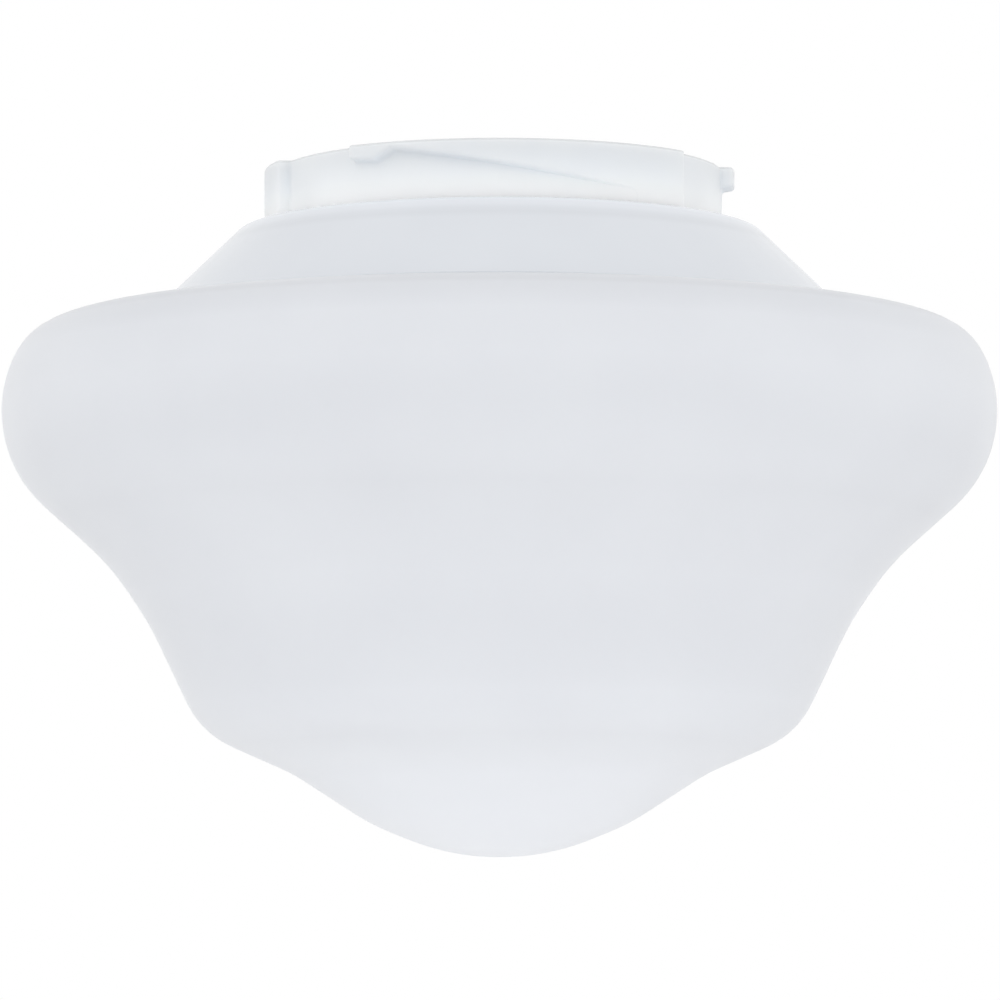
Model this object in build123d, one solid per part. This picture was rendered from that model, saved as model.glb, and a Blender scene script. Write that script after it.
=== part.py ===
from build123d import *
import os
from math import acos, asin, cos, degrees, hypot, pi, radians, sin, tan

# A twist-lock light kit that hangs under a ceiling fan: a moulded bayonet neck, a drawn steel collar,
# a schoolhouse glass held by three tabs, and a screw lampholder with its bulb inside.
# The origin is the centre of the neck's top rim. Z points up and the front is -Y.
# Lengths are in millimetres and turns in degrees.

# Clearances and cuts
overrun = 1.0
seat_gap = 0.1
running_gap = 0.25
pin_gap = 0.05

# Bayonet neck, one white moulding
neck_height = 15.5
neck_radius = 57.0
neck_wall = 3.0
land_step = 3.2
land_count = 3
land_start_turn = -39.0
land_end_turn = 51.0
ramp_end_turn = 34.3
notch_turn = -27.0
hook_tip_turn = -32.0
notch_depth = 1.5
hook_end_depth = 3.6
hook_tip_depth = 4.9
ramp_end_depth = 11.8
rim_round = 0.6
neck_floor_width = 10.0
neck_floor_thickness = 2.5
boss_radius = 5.0
boss_bite = 0.5
boss_height = 10.5
boss_turns = (60.0, 180.0, 300.0)

# Flared collar, a white painted steel pan
collar_wall = 1.2
collar_shoulder_width = 6.1
collar_shoulder_bend = 3.5
collar_rim_radius = 88.0

# Socket plate and the screws that clamp neck, collar, plate and retainer together
plate_thickness = 1.2
plate_margin = 5.0
clamp_screw_radius = 2.0
clamp_screw_grip = 8.0
clamp_head_radius = 3.8
clamp_head_height = 2.4
washer_thickness = 0.9
washer_radius = 4.2
washer_split = 1.0

# Schoolhouse glass, opal and blown in a mould
glass_radius = 127.0
glass_depth = 137.35
glass_wall = 3.2
glass_neck_bend = 1.5
glass_groove_height = 3.3
glass_lip_height = 3.8
glass_lip_overhang = 4.7
glass_rim_gap = 0.35
glass_notch_turn = 36.0
glass_twist = 34.0
stop_nub_turn = 3.0
stop_nub_height = 1.2
# Corners of the glass as shares of its radius and of its depth below the neck's foot.
# Each bend is given by how much of the shorter run beside its corner it takes up.
glass_corner_shares = (
    (0.942, 0.016),
    (1.008, 0.136),
    (0.984, 0.292),
    (0.784, 0.456),
    (0.702, 0.568),
    (0.598, 0.770),
    (0.417, 0.844),
    (0.260, 0.938),
    (0.098, 1.000),
)
glass_bend_shares = (0.441, 0.528, 0.524, 0.440, 0.264, 0.318, 0.067, 0.185, 0.975)

# Retainer ring, a pressed steel ring with three tabs, and the gasket above the glass
retainer_wall = 1.0
retainer_flange_width = 17.0
retainer_drop = 10.3
retainer_clearance = 2.57
retainer_bend = 1.6
retainer_side_gap = 0.8
retainer_ledge_width = 8.5
tab_count = 3
tab_turn = 30.0
tab_reach = 4.5
gasket_thickness = 1.6
gasket_width = 4.6

# Lampholder, its bracket and its brass parts
bracket_thickness = 1.5
bracket_width = 14.0
bracket_drop = 7.0
bracket_span = 45.0
bracket_ear = 12.0
bracket_rivet_radius = 2.0
bracket_rivet_head_radius = 3.6
bracket_rivet_head_height = 1.2
holder_cap_radius = 24.0
holder_cap_height = 14.0
holder_barrel_radius = 19.5
holder_height = 46.0
holder_bore_radius = 14.2
holder_bore_depth = 30.0
holder_round = 1.5
holder_screw_spacing = 18.0
holder_screw_radius = 1.75
holder_screw_grip = 9.0
holder_head_radius = 3.2
holder_head_height = 2.0
shell_wall = 0.4
shell_length = 27.0
shell_flange_width = 1.4
terminal_spacing = 16.0
terminal_pocket_width = 8.4
terminal_pocket_height = 10.6
terminal_pocket_roof = 1.9
terminal_seat_radius = 15.0
terminal_width = 7.0
terminal_thickness = 1.0
terminal_screw_radius = 1.5
terminal_screw_grip = 5.0
terminal_head_radius = 2.8
terminal_head_height = 1.8

# Sprung centre contact: a brass leaf riveted at one end
leaf_width = 5.0
leaf_thickness = 0.4
leaf_root_reach = 12.0
leaf_hinge_reach = 10.2
leaf_root_end_reach = 8.5
leaf_crown_reach = 1.8
leaf_tail_reach = 4.6
leaf_root_gap = 0.3
leaf_drop = 2.2
leaf_tail_lift = 1.0
leaf_rivet_radius = 1.1
leaf_rivet_play = 0.5
leaf_rivet_head_radius = 2.0
leaf_rivet_head_height = 0.8
leaf_rivet_grip = 5.0

# Connector to the fan, clipped up through the plate
connector_length = 20.0
connector_width = 11.0
connector_height = 16.0
connector_below = 2.6
connector_margin = 2.4
connector_wall = 1.5
connector_socket_depth = 8.5
connector_flange = 1.5
connector_flange_thickness = 1.5
connector_barb = 0.8
connector_barb_height = 1.8
connector_pitch = 6.0
connector_pin_radius = 1.0
connector_pin_length = 11.5

# Leads between the lampholder, the plate's earth screw and the connector
lead_radius = 1.2
lead_entry = 2.0
lead_seat = 2.4
lead_arc_share = 0.45
lead_bend_shares = ((0.0, 0.50, 0.0), (1.0, 1.0, 0.42))
ground_lead_drop = 10.5
ground_lead_sag = 16.3
ground_lead_bend_shares = (0.29, 0.71)
ground_screw_turn = 125.5
ground_screw_margin = 9.6
ground_screw_radius = 2.0
ground_screw_length = 5.0
ground_head_radius = 3.6
ground_head_height = 2.4
ring_terminal_radius = 4.0
ring_terminal_thickness = 0.8
ring_barrel_wall = 0.7
ring_barrel_length = 6.0
ring_barrel_gap = 0.6

# Bulb with a standard medium screw base
bulb_base_radius = 13.0
bulb_base_inner_radius = 12.2
bulb_base_length = 24.6
bulb_thread_pitch = 3.629
bulb_thread_depth = 0.7
bulb_thread_round_share = 1 / 3
bulb_thread_turns = 5
bulb_insulator_height = 2.4
bulb_insulator_radius = 11.4
bulb_tip_radius = 4.6
bulb_tip_height = 1.2
bulb_housing_length = 29.0
bulb_housing_radius = 22.4
bulb_housing_wall = 1.6
bulb_neck_radius = 13.4
bulb_globe_radius = 24.0
bulb_globe_wall = 1.2
bulb_spigot_height = 3.0
led_board_thickness = 1.2
led_count = 8
led_size = 2.8
led_height = 0.7
led_circle_radius = 12.0

# Levels and radii that follow from the sizes above
collar_top = -neck_height
plate_top = collar_top - collar_wall
plate_bottom = plate_top - plate_thickness
flange_bottom = plate_bottom - retainer_wall
neck_bore = neck_radius - neck_wall
neck_floor_hole = neck_bore - neck_floor_width
land_radius = neck_radius + land_step
screw_circle = neck_bore - boss_radius + boss_bite
collar_shoulder_radius = land_radius + collar_shoulder_width
plate_radius = collar_shoulder_radius - plate_margin
ledge_top = plate_bottom - retainer_drop
ledge_bottom = ledge_top - retainer_wall
gasket_bottom = ledge_bottom - gasket_thickness
glass_lip_top = gasket_bottom - running_gap
glass_lip_under = glass_lip_top - glass_lip_height
glass_foot = glass_lip_under - glass_groove_height
collar_rim_level = glass_foot + glass_rim_gap + collar_wall
collar_slope = (collar_top - collar_rim_level) / (collar_rim_radius - collar_shoulder_radius)
collar_inner_top = collar_top - collar_wall * hypot(1, collar_slope)
skirt_reach = (collar_inner_top - ledge_top - retainer_clearance) / collar_slope
skirt_radius = collar_shoulder_radius + skirt_reach
skirt_inner = skirt_radius - retainer_wall
glass_lip_radius = skirt_inner - retainer_side_gap
glass_neck_radius = glass_lip_radius - glass_lip_overhang
tab_top = glass_lip_under - running_gap
tab_bottom = tab_top - retainer_wall
bridge_top = plate_bottom - bracket_drop
holder_top = bridge_top - bracket_thickness
holder_mouth = holder_top - holder_height
holder_floor = holder_mouth + holder_bore_depth
shell_radius = holder_bore_radius - seat_gap
terminal_top = holder_top - terminal_pocket_roof - 2 * seat_gap
terminal_height = terminal_pocket_height - 4 * seat_gap
terminal_bottom = terminal_top - terminal_height
terminal_face = terminal_seat_radius + terminal_thickness
lead_level = terminal_bottom + lead_seat
leaf_root_top = holder_floor - leaf_root_gap
leaf_crown_bottom = leaf_root_top - leaf_drop - leaf_thickness
tip_top = leaf_crown_bottom - pin_gap
insulator_top = tip_top - bulb_tip_height
base_top = insulator_top - bulb_insulator_height
base_bottom = base_top - bulb_base_length
housing_bottom = base_bottom - bulb_housing_length
globe_rise = (bulb_globe_radius**2 - bulb_housing_radius**2) ** 0.5
globe_centre = housing_bottom - globe_rise
connector_bottom = plate_bottom - connector_below
connector_top = connector_bottom + connector_height
connector_socket_floor = connector_top - connector_socket_depth
connector_corner_x = connector_length / 2 + connector_flange
connector_corner_y = ((neck_floor_hole - connector_margin) ** 2 - connector_corner_x**2) ** 0.5
connector_reach = connector_corner_y - connector_flange - connector_width / 2
ring_terminal_bottom = plate_bottom - ring_terminal_thickness
ground_screw_reach = neck_floor_hole - ground_screw_margin
ground_screw_x = ground_screw_reach * sin(radians(ground_screw_turn))
ground_screw_y = -ground_screw_reach * cos(radians(ground_screw_turn))


def turned(*corners):
    """A solid turned about the kit's axis from the corners (radius, height) of its half section."""
    return revolve(Plane.XZ * make_face(Polyline(*corners, close=True)), Axis.Z)


def ring(inner, outer, top, bottom):
    """A plain ring on the kit's axis."""
    return turned((inner, top), (outer, top), (outer, bottom), (inner, bottom))


def ring_part(inner, outer, top, bottom, start, end):
    """The part of a ring between two turns, which are counted from the front towards +X."""
    outline = Polyline((inner, top), (outer, top), (outer, bottom), (inner, bottom), close=True)
    return Rot(0, 0, start - 90) * revolve(Plane.XZ * make_face(outline), Axis.Z, end - start)


def rod(radius, top, bottom, x=0, y=0):
    """An upright rod."""
    return Pos(x, y, (top + bottom) / 2) * Cylinder(radius, top - bottom)


def block(length, width, top, bottom, x=0, y=0):
    """An upright block."""
    return Pos(x, y, (top + bottom) / 2) * Box(length, width, top - bottom)


def spot(radius, turn):
    """The place at a radius and a turn from the front."""
    return radius * sin(radians(turn)), -radius * cos(radians(turn))


def inset(corners, bends, wall):
    """The line that lies one wall to the right of a bent line, and its bends."""
    heads = []
    for (x0, z0), (x1, z1) in zip(corners, corners[1:]):
        run = hypot(x1 - x0, z1 - z0)
        heads.append(((x1 - x0) / run, (z1 - z0) / run))
    moved = [(corners[0][0] + wall * heads[0][1], corners[0][1] - wall * heads[0][0])]
    new_bends = []
    for (x, z), (ux, uz), (vx, vz), bend in zip(corners[1:], heads, heads[1:], bends):
        across = ux * vz - uz * vx
        reach = wall * tan(asin(across) / 2)
        moved.append((x + wall * uz + reach * ux, z - wall * ux + reach * uz))
        new_bends.append(bend + wall if across > 0 else bend - wall)
    moved.append((corners[-1][0] + wall * heads[-1][1], corners[-1][1] - wall * heads[-1][0]))
    return moved, new_bends


def bent_shell(corners, bends, wall):
    """A shell turned from a bent line, with its wall to the right of the line."""
    inner_corners, inner_bends = inset(corners, bends, wall)
    outer = FilletPolyline(*corners, radius=bends)
    inner = FilletPolyline(*inner_corners, radius=inner_bends)
    ends = [Line(outer @ 1, inner @ 1), Line(inner @ 0, outer @ 0)]
    return revolve(Plane.XZ * make_face([outer, inner] + ends), Axis.Z)


def strip(corners, thickness, width, y=0):
    """A bent strip of sheet, from its upper line (x, height) and its width along Y."""
    lower, _ = inset(corners, [0] * (len(corners) - 2), thickness)
    section = Plane.XZ * make_face(Polyline(*corners, *reversed(lower), close=True))
    return Pos(0, y + width / 2, 0) * extrude(section, width)


def drive_slot(radius, depth):
    """A cross recess that is cut down into a screw head from the plane through its top."""
    width = radius / 2
    arm = Pos(0, 0, -depth / 2 + overrun / 2) * Box(2 * radius, width, depth + overrun)
    return arm + Rot(0, 0, 90) * arm


def pan_screw(radius, grip, head_radius, head_height):
    """A pan head screw with its head above the origin and its shank below."""
    head = Pos(0, 0, head_height / 2) * Cylinder(head_radius, head_height)
    head = fillet(head.edges().filter_by(GeomType.CIRCLE).sort_by(Axis.Z)[-1], head_height / 2)
    shank = Pos(0, 0, -grip / 2) * Cylinder(radius, grip)
    shank = chamfer(shank.edges().sort_by(Axis.Z)[0], radius / 4)
    return head + shank - Pos(0, 0, head_height) * drive_slot(head_radius / 2, head_height / 2)


def bends_along(points, shares):
    """The bend at each inner point of a line, which takes up its share of the shorter run beside it."""
    places = [Vector(*point) for point in points]
    bends = []
    for before, corner, after, share in zip(places, places[1:], places[2:], shares):
        turn = radians((corner - before).get_angle(after - corner))
        shorter = min((corner - before).length, (after - corner).length)
        bends.append(share * shorter / tan(turn / 2))
    return bends


def cable(points):
    """A lead along straight runs that are joined by arcs, each as large as its runs allow."""
    bends = bends_along(points, [lead_arc_share] * (len(points) - 2))
    path = FilletPolyline(*points, radius=bends)
    tube = sweep(Plane(origin=path @ 0, z_dir=path % 0) * Circle(lead_radius), path=path)
    print("lead", round(path.length, 1), "mm long, bends", [round(b, 1) for b in bends],
          "volume over section times length", round(tube.volume / (path.length * pi * lead_radius**2), 4))
    return tube


def make_neck():
    """The neck tube with its three ramped lands outside, and its floor ring and screw bosses inside."""
    land = ring_part(neck_bore, land_radius, 0, -neck_height, land_start_turn, land_end_turn)
    left = land_radius * sin(radians(land_start_turn)) - overrun
    foot = -neck_height - overrun
    under_ramp = (
        (left, -hook_end_depth),
        (land_radius * sin(radians(hook_tip_turn)), -hook_tip_depth),
        (land_radius * sin(radians(notch_turn)), -notch_depth),
        (land_radius * sin(radians(ramp_end_turn)), -ramp_end_depth),
        (land_radius * sin(radians(ramp_end_turn)), foot),
        (left, foot),
    )
    pocket = extrude(Plane.XZ * make_face(Polyline(*under_ramp, close=True)), land_radius + overrun)
    land -= pocket
    neck = ring(neck_bore, neck_radius, 0, -neck_height)
    for i in range(land_count):
        neck += Rot(0, 0, 360 / land_count * i) * land
    neck += ring(neck_floor_hole, neck_radius, neck_floor_thickness - neck_height, -neck_height)
    for turn in boss_turns:
        x, y = spot(screw_circle, turn)
        neck += rod(boss_radius, collar_top + boss_height, collar_top, x, y)
        neck -= rod(clamp_screw_radius, collar_top + clamp_screw_grip + overrun, collar_top - overrun, x, y)
    arcs = neck.edges().filter_by(GeomType.CIRCLE)
    rim = [arc for arc in arcs if abs(arc.center().Z) < seat_gap and arc.radius > neck_bore]
    return fillet(rim, rim_round)


def make_collar():
    """The drawn pan from its hole under the neck to its free rim above the glass."""
    corners = [
        (neck_floor_hole, collar_top),
        (collar_shoulder_radius, collar_top),
        (collar_rim_radius, collar_rim_level),
    ]
    collar = bent_shell(corners, [collar_shoulder_bend], collar_wall)
    return drill(collar, collar_top, plate_top)


def drill(sheet, top, bottom):
    """The sheet with its three clearance holes for the clamp screws."""
    for turn in boss_turns:
        x, y = spot(screw_circle, turn)
        sheet -= rod(clamp_screw_radius + pin_gap, top + overrun, bottom - overrun, x, y)
    return sheet


def make_plate():
    """The round steel plate that carries the lampholder, the connector and the earth screw."""
    plate = drill(rod(plate_radius, plate_top, plate_bottom), plate_top, plate_bottom)
    top = plate_top + overrun
    bottom = plate_bottom - overrun
    window_length = connector_length + 2 * seat_gap
    window_width = connector_width + 2 * seat_gap
    plate -= block(window_length, window_width, top, bottom, y=connector_reach)
    plate -= rod(ground_screw_radius, top, bottom, ground_screw_x, ground_screw_y)
    for side in (-1, 1):
        plate -= rod(bracket_rivet_radius, top, bottom, side * bracket_rivet_x())
    return plate


def bracket_rivet_x():
    """How far the bracket's rivets stand from the axis: the middle of its ears."""
    return bracket_span / 2 + bracket_ear / 2


def make_retainer():
    """The pressed ring under the plate, with a ledge for the gasket and a skirt with three tabs."""
    corners = [
        (plate_radius - retainer_flange_width, plate_bottom),
        (plate_radius, plate_bottom),
        (skirt_radius - retainer_ledge_width, ledge_top),
        (skirt_radius, ledge_top),
        (skirt_radius, tab_bottom),
    ]
    ring_shell = bent_shell(corners, [retainer_bend] * 3, retainer_wall)
    for i in range(tab_count):
        middle = 360 / tab_count * i
        reach = skirt_inner - tab_reach
        ring_shell += ring_part(reach, skirt_radius - retainer_wall / 2, tab_top, tab_bottom,
                                middle - tab_turn / 2, middle + tab_turn / 2)
    return drill(ring_shell, plate_bottom, flange_bottom)


def make_gasket():
    """The flat silicone ring between the retainer's ledge and the lip of the glass."""
    outer = skirt_inner - retainer_bend
    return ring(outer - gasket_width, outer, ledge_bottom, gasket_bottom)


def make_glass():
    """The hollow glass with its notched lip, open at the neck and closed below."""
    corners = [(glass_neck_radius, glass_lip_top), (glass_neck_radius, glass_foot)]
    for across, down in glass_corner_shares:
        corners.append((across * glass_radius, glass_foot - down * glass_depth))
    corners.append((0, glass_foot - glass_depth))
    bends = [glass_neck_bend] + bends_along(corners[1:], glass_bend_shares)
    glass = bent_shell(corners, bends, glass_wall)
    lip = ring(glass_neck_radius - glass_wall / 2, glass_lip_radius, glass_lip_top, glass_lip_under)
    for i in range(tab_count):
        start = 360 / tab_count * i + glass_twist - glass_notch_turn / 2
        lip -= ring_part(glass_neck_radius, glass_lip_radius + overrun, glass_lip_top + overrun,
                         glass_lip_under - overrun, start, start + glass_notch_turn)
    glass += lip
    # A low nub beside each tab stops the glass when it is fully home
    for i in range(tab_count):
        home = 360 / tab_count * i - tab_turn / 2 - degrees(running_gap / skirt_inner)
        glass += ring_part(glass_neck_radius - glass_wall / 2, glass_lip_radius - retainer_side_gap,
                           glass_lip_under, glass_lip_under - stop_nub_height, home - stop_nub_turn, home)
    return glass


def make_clamp_screws():
    """Three pan head screws, each up through its washer, retainer, plate and collar into a boss."""
    grip = washer_thickness + retainer_wall + plate_thickness + collar_wall + clamp_screw_grip
    screw = Rot(180, 0, 0) * pan_screw(clamp_screw_radius, grip, clamp_head_radius, clamp_head_height)
    places = [spot(screw_circle, turn) for turn in boss_turns]
    return Compound(children=[Pos(x, y, flange_bottom - washer_thickness) * screw for x, y in places])


def make_lock_washers():
    """Three split spring washers under the clamp screws."""
    bottom = -washer_thickness
    washer = rod(washer_radius, 0, bottom) - rod(clamp_screw_radius + pin_gap, overrun, bottom - overrun)
    split_middle = (washer_radius + clamp_screw_radius) / 2
    washer -= block(washer_radius, washer_split, overrun, bottom - overrun, split_middle)
    places = [spot(screw_circle, turn) for turn in boss_turns]
    return Compound(children=[Pos(x, y, flange_bottom) * washer for x, y in places])


def make_bracket():
    """The steel strap that hangs the lampholder under the plate."""
    half = bracket_span / 2
    corners = [
        (-half - bracket_ear, plate_bottom),
        (-half, plate_bottom),
        (-half + bracket_thickness, bridge_top),
        (half - bracket_thickness, bridge_top),
        (half, plate_bottom),
        (half + bracket_ear, plate_bottom),
    ]
    bracket = strip(corners, bracket_thickness, bracket_width)
    bottom = holder_top - overrun
    for side in (-1, 1):
        bracket -= rod(bracket_rivet_radius, plate_bottom + overrun, bottom, side * bracket_rivet_x())
        bracket -= rod(holder_screw_radius, plate_bottom, bottom, side * holder_screw_spacing / 2)
    return bracket


def make_bracket_rivets():
    """Two rivets that hold the strap's ears to the plate."""
    ear_bottom = plate_bottom - bracket_thickness
    height = bracket_rivet_head_height
    rivet = rod(bracket_rivet_radius, plate_top, ear_bottom)
    for top in (plate_top + height, ear_bottom):
        rivet += rod(bracket_rivet_head_radius, top, top - height)
    return Compound(children=[Pos(side * bracket_rivet_x(), 0, 0) * rivet for side in (-1, 1)])


def make_holder():
    """The porcelain body: a thick cap with two terminal pockets, and a barrel that is open below."""
    cap_bottom = holder_top - holder_cap_height
    holder = rod(holder_cap_radius, holder_top, cap_bottom)
    holder = fillet(holder.edges().filter_by(GeomType.CIRCLE), holder_round)
    barrel = rod(holder_barrel_radius, cap_bottom + overrun, holder_mouth)
    holder += fillet(barrel.edges().filter_by(GeomType.CIRCLE).sort_by(Axis.Z)[0], holder_round)
    holder -= rod(holder_bore_radius, holder_floor, holder_mouth - overrun)
    pocket_top = holder_top - terminal_pocket_roof
    for side in (-1, 1):
        x = side * terminal_spacing / 2
        pocket_depth = holder_cap_radius - terminal_seat_radius + overrun
        holder -= block(terminal_pocket_width, pocket_depth, pocket_top, pocket_top - terminal_pocket_height,
                        x, terminal_seat_radius + pocket_depth / 2)
        holder -= terminal_hole(x)
        holder -= rod(holder_screw_radius, holder_top + overrun, holder_top - holder_screw_grip,
                      side * holder_screw_spacing / 2)
    rivet_top = holder_floor + leaf_rivet_grip
    return holder - rod(leaf_rivet_radius, rivet_top, holder_floor - overrun, -leaf_hinge_reach)


def terminal_screw_level():
    """The height of the terminal screws: near the top of their plates."""
    return terminal_top - terminal_head_radius - seat_gap


def terminal_hole(x):
    """The hole behind a terminal plate for its screw."""
    middle = terminal_face - terminal_screw_grip / 2
    hole = Rot(90, 0, 0) * Cylinder(terminal_screw_radius, terminal_screw_grip)
    return Pos(x, middle, terminal_screw_level()) * hole


def make_holder_screws():
    """Two screws down through the strap's bridge into the porcelain."""
    grip = bracket_thickness + holder_screw_grip - seat_gap
    screw = pan_screw(holder_screw_radius, grip, holder_head_radius, holder_head_height)
    reach = holder_screw_spacing / 2
    return Compound(children=[Pos(side * reach, 0, bridge_top) * screw for side in (-1, 1)])


def make_shell():
    """The brass sleeve that the bulb screws into, with a narrow flange against the floor of the bore."""
    inner = shell_radius - shell_wall
    sleeve = ring(inner, shell_radius, holder_floor, holder_floor - shell_length)
    return sleeve + ring(shell_radius - shell_flange_width, shell_radius, holder_floor, holder_floor - shell_wall)


def make_terminals():
    """Two brass plates on the seats of the terminal pockets."""
    plates = []
    for side in (-1, 1):
        x = side * terminal_spacing / 2
        plate = block(terminal_width, terminal_thickness, terminal_top, terminal_bottom, x,
                      terminal_seat_radius + terminal_thickness / 2)
        plates.append(plate - terminal_hole(x))
    return Compound(children=plates)


def make_terminal_screws():
    """Two screws that hold the terminal plates."""
    grip = terminal_screw_grip - seat_gap
    screw = pan_screw(terminal_screw_radius, grip, terminal_head_radius, terminal_head_height)
    level = terminal_screw_level()
    return Compound(children=[
        Pos(side * terminal_spacing / 2, terminal_face, level) * Rot(-90, 0, 0) * screw for side in (-1, 1)
    ])


def make_contact():
    """The sprung leaf: its riveted root, its slope down to the crown over the bulb, and its curled tail."""
    crown_top = leaf_root_top - leaf_drop
    corners = [
        (-leaf_root_reach, leaf_root_top),
        (-leaf_root_end_reach, leaf_root_top),
        (-leaf_crown_reach, crown_top),
        (leaf_crown_reach, crown_top),
        (leaf_tail_reach, crown_top + leaf_tail_lift),
    ]
    leaf = strip(corners, leaf_thickness, leaf_width)
    hole = rod(leaf_rivet_radius + leaf_rivet_play, holder_floor, crown_top, -leaf_hinge_reach)
    return leaf - hole


def make_contact_rivet():
    """The rivet through the leaf's root, with the play that the leaf flexes in."""
    head_top = leaf_root_top - leaf_thickness - leaf_root_gap
    rivet = rod(leaf_rivet_radius, holder_floor + leaf_rivet_grip, head_top, -leaf_hinge_reach)
    return rivet + rod(leaf_rivet_head_radius, head_top, head_top - leaf_rivet_head_height, -leaf_hinge_reach)


def make_connector():
    """The connector housing: a flange on the plate, two barbs under it, and an open socket above."""
    housing = block(connector_length, connector_width, connector_top, connector_bottom, y=connector_reach)
    housing += block(connector_length + 2 * connector_flange, connector_width + 2 * connector_flange,
                     plate_top + connector_flange_thickness, plate_top, y=connector_reach)
    housing -= block(connector_length - 2 * connector_wall, connector_width - 2 * connector_wall,
                     connector_top + overrun, connector_socket_floor, y=connector_reach)
    barb_top = plate_bottom - seat_gap
    for side in (-1, 1):
        x = side * (connector_length + connector_barb) / 2
        housing += block(connector_barb, connector_width / 2, barb_top, barb_top - connector_barb_height,
                         x, connector_reach)
    for i in (-1, 0, 1):
        x = i * connector_pitch
        housing -= rod(connector_pin_radius, connector_top, connector_bottom, x, connector_reach)
        housing -= rod(lead_radius + pin_gap, connector_bottom + lead_entry, connector_bottom - overrun,
                       x, connector_reach)
    return housing


def make_pins():
    """Three brass pins, from the ends of the leads up into the connector's socket."""
    foot = connector_bottom + lead_entry
    pins = []
    top = foot + connector_pin_length
    for i in (-1, 0, 1):
        pin = rod(connector_pin_radius, top, foot, i * connector_pitch, connector_reach)
        tip = pin.edges().filter_by(GeomType.CIRCLE).sort_by(Axis.Z)[-1]
        pins.append(fillet(tip, connector_pin_radius / 2))
    return Compound(children=pins)


def terminal_lead(side, pin):
    """A lead from a terminal plate out of its pocket and up into the connector."""
    start = Vector(side * terminal_spacing / 2, terminal_face, lead_level)
    end = Vector(pin * connector_pitch, connector_reach, connector_bottom + lead_entry)
    span = end - start
    bends = [start + Vector(span.X * x, span.Y * y, span.Z * z) for x, y, z in lead_bend_shares]
    return cable([start, *bends, end])


def barrel_place():
    """Where the ring terminal's upright barrel stands: beside its ring, towards the connector's last pin."""
    across = connector_pitch - ground_screw_x
    back = connector_reach - ground_screw_y
    reach = ring_terminal_radius + ring_barrel_gap + barrel_radius()
    share = reach / hypot(across, back)
    return ground_screw_x + across * share, ground_screw_y + back * share


def barrel_radius():
    """The barrel's outer radius, round the lead."""
    return lead_radius + pin_gap + ring_barrel_wall


def barrel_bottom():
    """The open lower end of the barrel."""
    return ring_terminal_bottom - ring_barrel_length


def make_ground_lead():
    """The earth lead, hanging in a loop from the connector's last pin to the ring terminal on the plate."""
    start = Vector(connector_pitch, connector_reach, connector_bottom + lead_entry)
    x, y = barrel_place()
    end = Vector(x, y, barrel_bottom() + ring_barrel_length / 2)
    near, far = (start + (end - start) * share for share in ground_lead_bend_shares)
    points = [
        start,
        Vector(start.X, start.Y, start.Z - ground_lead_drop),
        Vector(near.X, near.Y, start.Z - ground_lead_sag),
        Vector(far.X, far.Y, start.Z - ground_lead_sag),
        Vector(end.X, end.Y, start.Z - ground_lead_drop),
        end,
    ]
    return cable(points)


def make_ring_terminal():
    """The tinned ring under the earth screw, with a barrel bent down for the lead."""
    x, y = barrel_place()
    reach = hypot(x - ground_screw_x, y - ground_screw_y)
    turn = degrees(acos((x - ground_screw_x) / reach))
    ring_flat = rod(ring_terminal_radius, plate_bottom, ring_terminal_bottom, ground_screw_x, ground_screw_y)
    tongue = block(reach, 2 * lead_radius, plate_bottom, ring_terminal_bottom, reach / 2)
    terminal = ring_flat + Pos(ground_screw_x, ground_screw_y, 0) * Rot(0, 0, turn) * tongue
    terminal += rod(barrel_radius(), plate_bottom, barrel_bottom(), x, y)
    terminal -= rod(lead_radius + pin_gap, barrel_bottom() + ring_barrel_length - ring_terminal_thickness,
                    barrel_bottom() - overrun, x, y)
    return terminal - rod(ground_screw_radius + pin_gap, plate_top, ring_terminal_bottom - overrun,
                          ground_screw_x, ground_screw_y)


def make_ground_screw():
    """The earth screw, up through the ring terminal into the plate."""
    screw = pan_screw(ground_screw_radius, ground_screw_length, ground_head_radius, ground_head_height)
    return Pos(ground_screw_x, ground_screw_y, ring_terminal_bottom) * Rot(180, 0, 0) * screw


def make_bulb_base():
    """The bulb's screw shell, with its thread as round grooves."""
    base = ring(bulb_base_inner_radius - bulb_thread_depth, bulb_base_radius, base_top, base_bottom)
    for i in range(bulb_thread_turns):
        level = base_top - bulb_thread_pitch * (i + 1)
        groove = Circle(bulb_thread_pitch * bulb_thread_round_share)
        base -= revolve(Plane.XZ * Pos(bulb_base_radius + bulb_thread_depth / 2, level) * groove, Axis.Z)
    return base


def make_bulb_insulator():
    """The black insulator that closes the top of the screw shell."""
    inner = bulb_base_inner_radius - bulb_thread_depth
    return turned(
        (0, insulator_top),
        (bulb_tip_radius + pin_gap, insulator_top),
        (bulb_insulator_radius, base_top),
        (inner - pin_gap, base_top),
        (inner - pin_gap, base_top - bulb_insulator_height),
        (0, base_top - bulb_insulator_height),
    )


def make_bulb_tip():
    """The bulb's centre contact, a low round button."""
    tip = rod(bulb_tip_radius, tip_top, insulator_top)
    return fillet(tip.edges().filter_by(GeomType.CIRCLE).sort_by(Axis.Z)[-1], bulb_tip_height / 2)


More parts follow.
